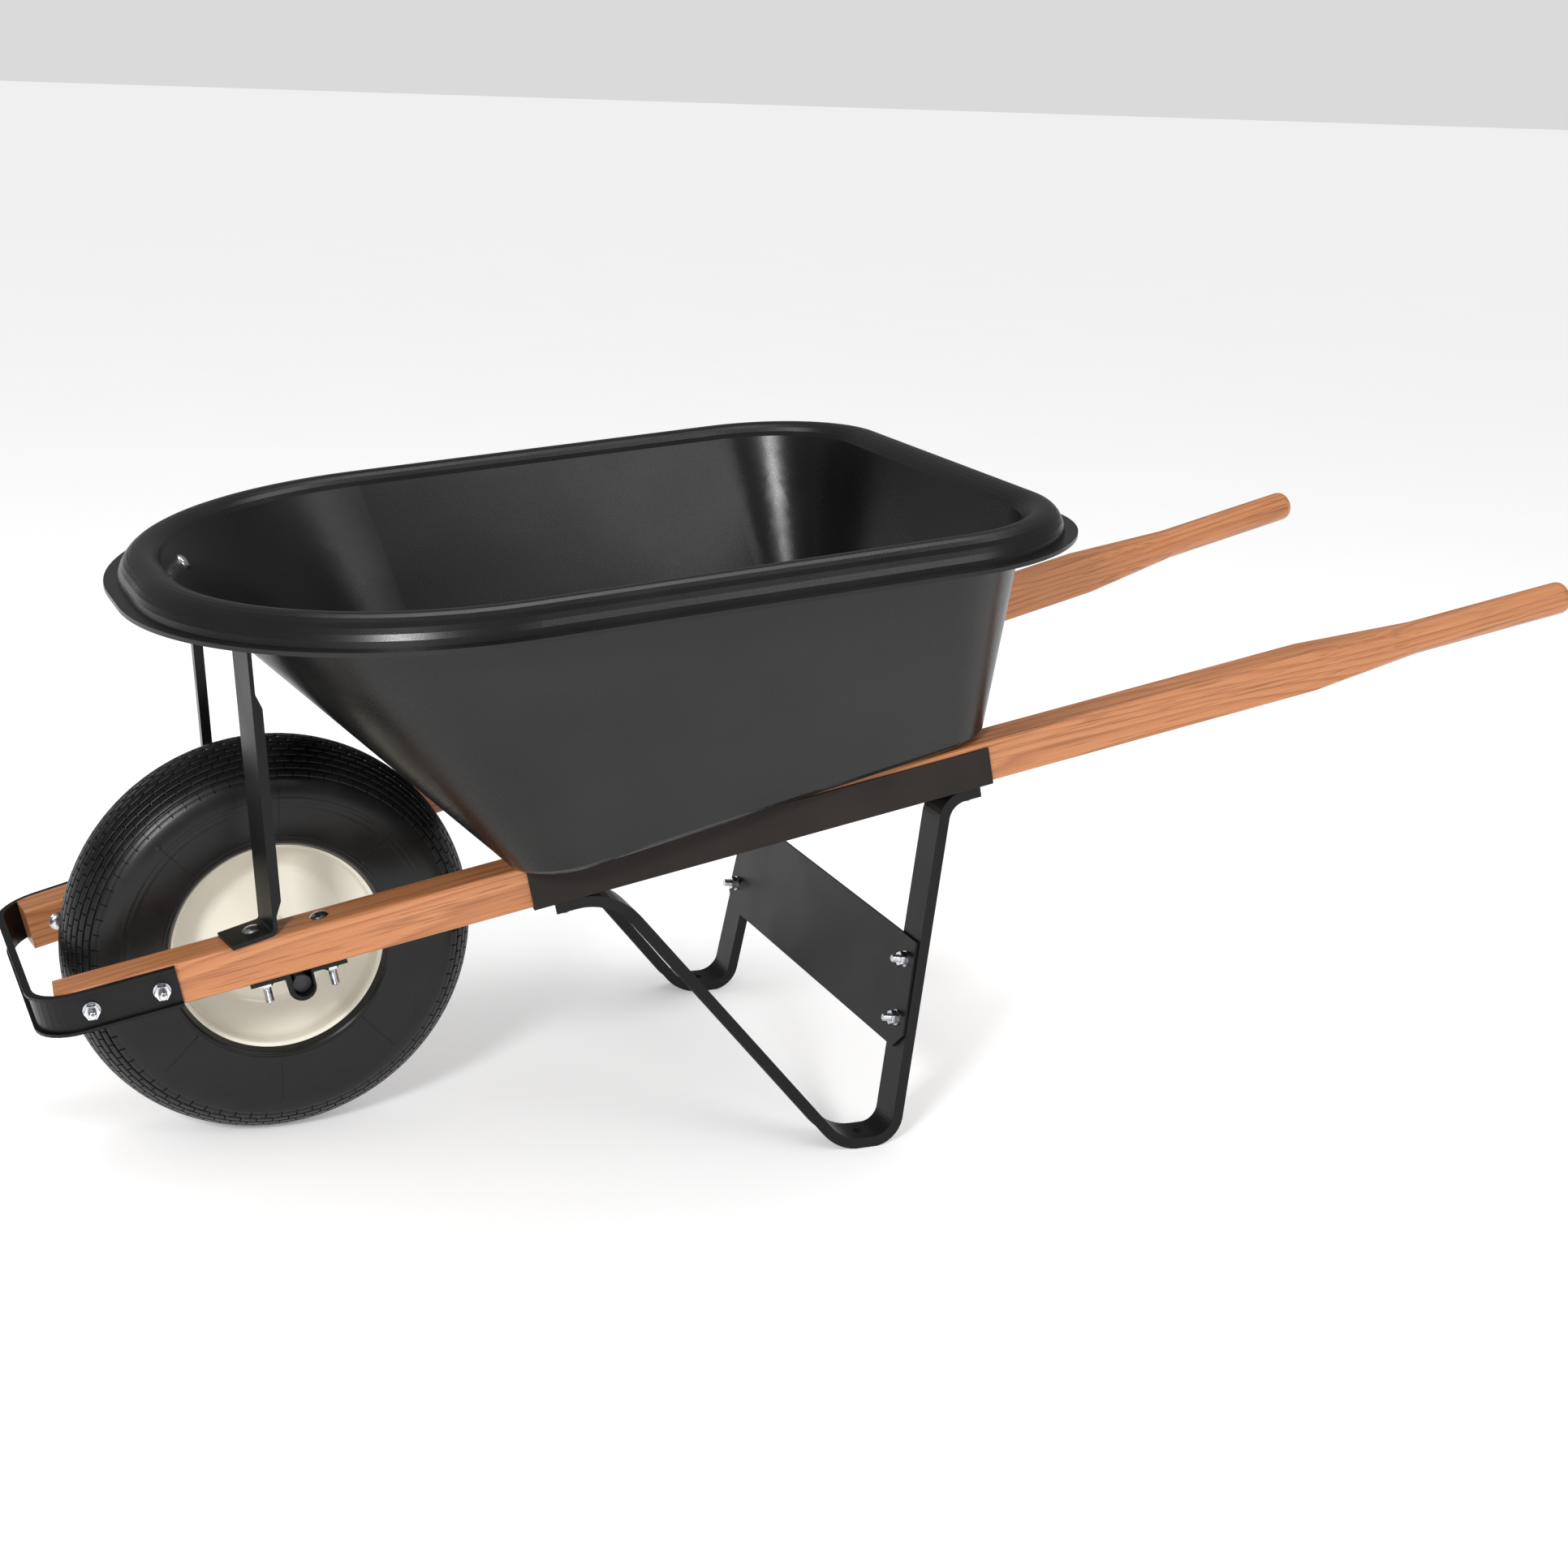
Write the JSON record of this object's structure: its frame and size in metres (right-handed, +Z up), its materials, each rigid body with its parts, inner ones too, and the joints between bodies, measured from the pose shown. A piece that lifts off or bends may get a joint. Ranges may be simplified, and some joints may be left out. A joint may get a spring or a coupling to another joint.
{
  "type": "wheelbarrow",
  "caption": "Single-wheel barrow with a deep moulded tray on two straight timber handles, strap-steel legs and brace, nose guard and a ribbed pneumatic tyre.",
  "frame": {"origin": "centre of the bounding box in plan, on the floor the wheel and feet stand on", "axes": "+X from the wheel towards the grips, +Z up, +Y completes the set; the left-hand pieces are on the -Y side"},
  "size_m": [1.5625, 0.704, 0.6494],
  "materials": {
    "tray_plastic": "satin-gloss black moulded plastic, very fine orange peel",
    "handle_wood": "straight-grained light hardwood under clear satin varnish",
    "channel_paint": "flat dark brown-black paint",
    "black_powder_coat": "black powder coat, low sheen",
    "tyre_rubber": "black rubber, satin sidewall",
    "tube_rubber": "plain black",
    "valve_stem": "black rubber over brass",
    "valve_cap": "matt black",
    "rim_paint": "cream gloss enamel",
    "bearing_steel": "dull oiled steel",
    "spacer_steel": "dark phosphated tube",
    "axle_steel": "bright drawn bar",
    "zinc_plate": "bright zinc plate"
  },
  "bodies": {
    "frame": {"axle": "axle_steel", "axle_bracket_bolts": "zinc_plate", "axle_bracket_left": "black_powder_coat", "axle_bracket_nuts": "zinc_plate", "axle_bracket_right": "black_powder_coat", "axle_bracket_washers": "zinc_plate", "axle_spacer_left": "spacer_steel", "axle_spacer_right": "spacer_steel", "brace_bolts": "zinc_plate", "brace_nuts": "zinc_plate", "brace_washers": "zinc_plate", "cross_brace": "black_powder_coat", "floor_bolts": "zinc_plate", "floor_nuts": "zinc_plate", "floor_washers": "zinc_plate", "guard_bolts": "zinc_plate", "guard_nuts": "zinc_plate", "guard_washers": "zinc_plate", "handle_left": "handle_wood", "handle_right": "handle_wood", "leg_left": "black_powder_coat", "leg_right": "black_powder_coat", "nose_guard": "black_powder_coat", "side_channel_left": "channel_paint", "side_channel_right": "channel_paint", "strut_bolts": "zinc_plate", "strut_nuts": "zinc_plate", "strut_washers": "zinc_plate", "tray": "tray_plastic", "tray_strut_left": "black_powder_coat", "tray_strut_right": "black_powder_coat"},
    "wheel": {"tyre": "tyre_rubber", "inner_tube": "tube_rubber", "valve_stem": "valve_stem", "valve_cap": "valve_cap", "rim_half_left": "rim_paint", "rim_half_right": "rim_paint", "hub_tube": "rim_paint", "bearing_left": "bearing_steel", "bearing_right": "bearing_steel", "grease_fitting": "zinc_plate"}
  },
  "joints": [
    {"name": "wheel_spin", "type": "hinge", "parent": "frame", "child": "wheel", "pos_m": [-0.53598, 0, 0.2], "axis": [0, 1, 0], "continuous": true}
  ]
}
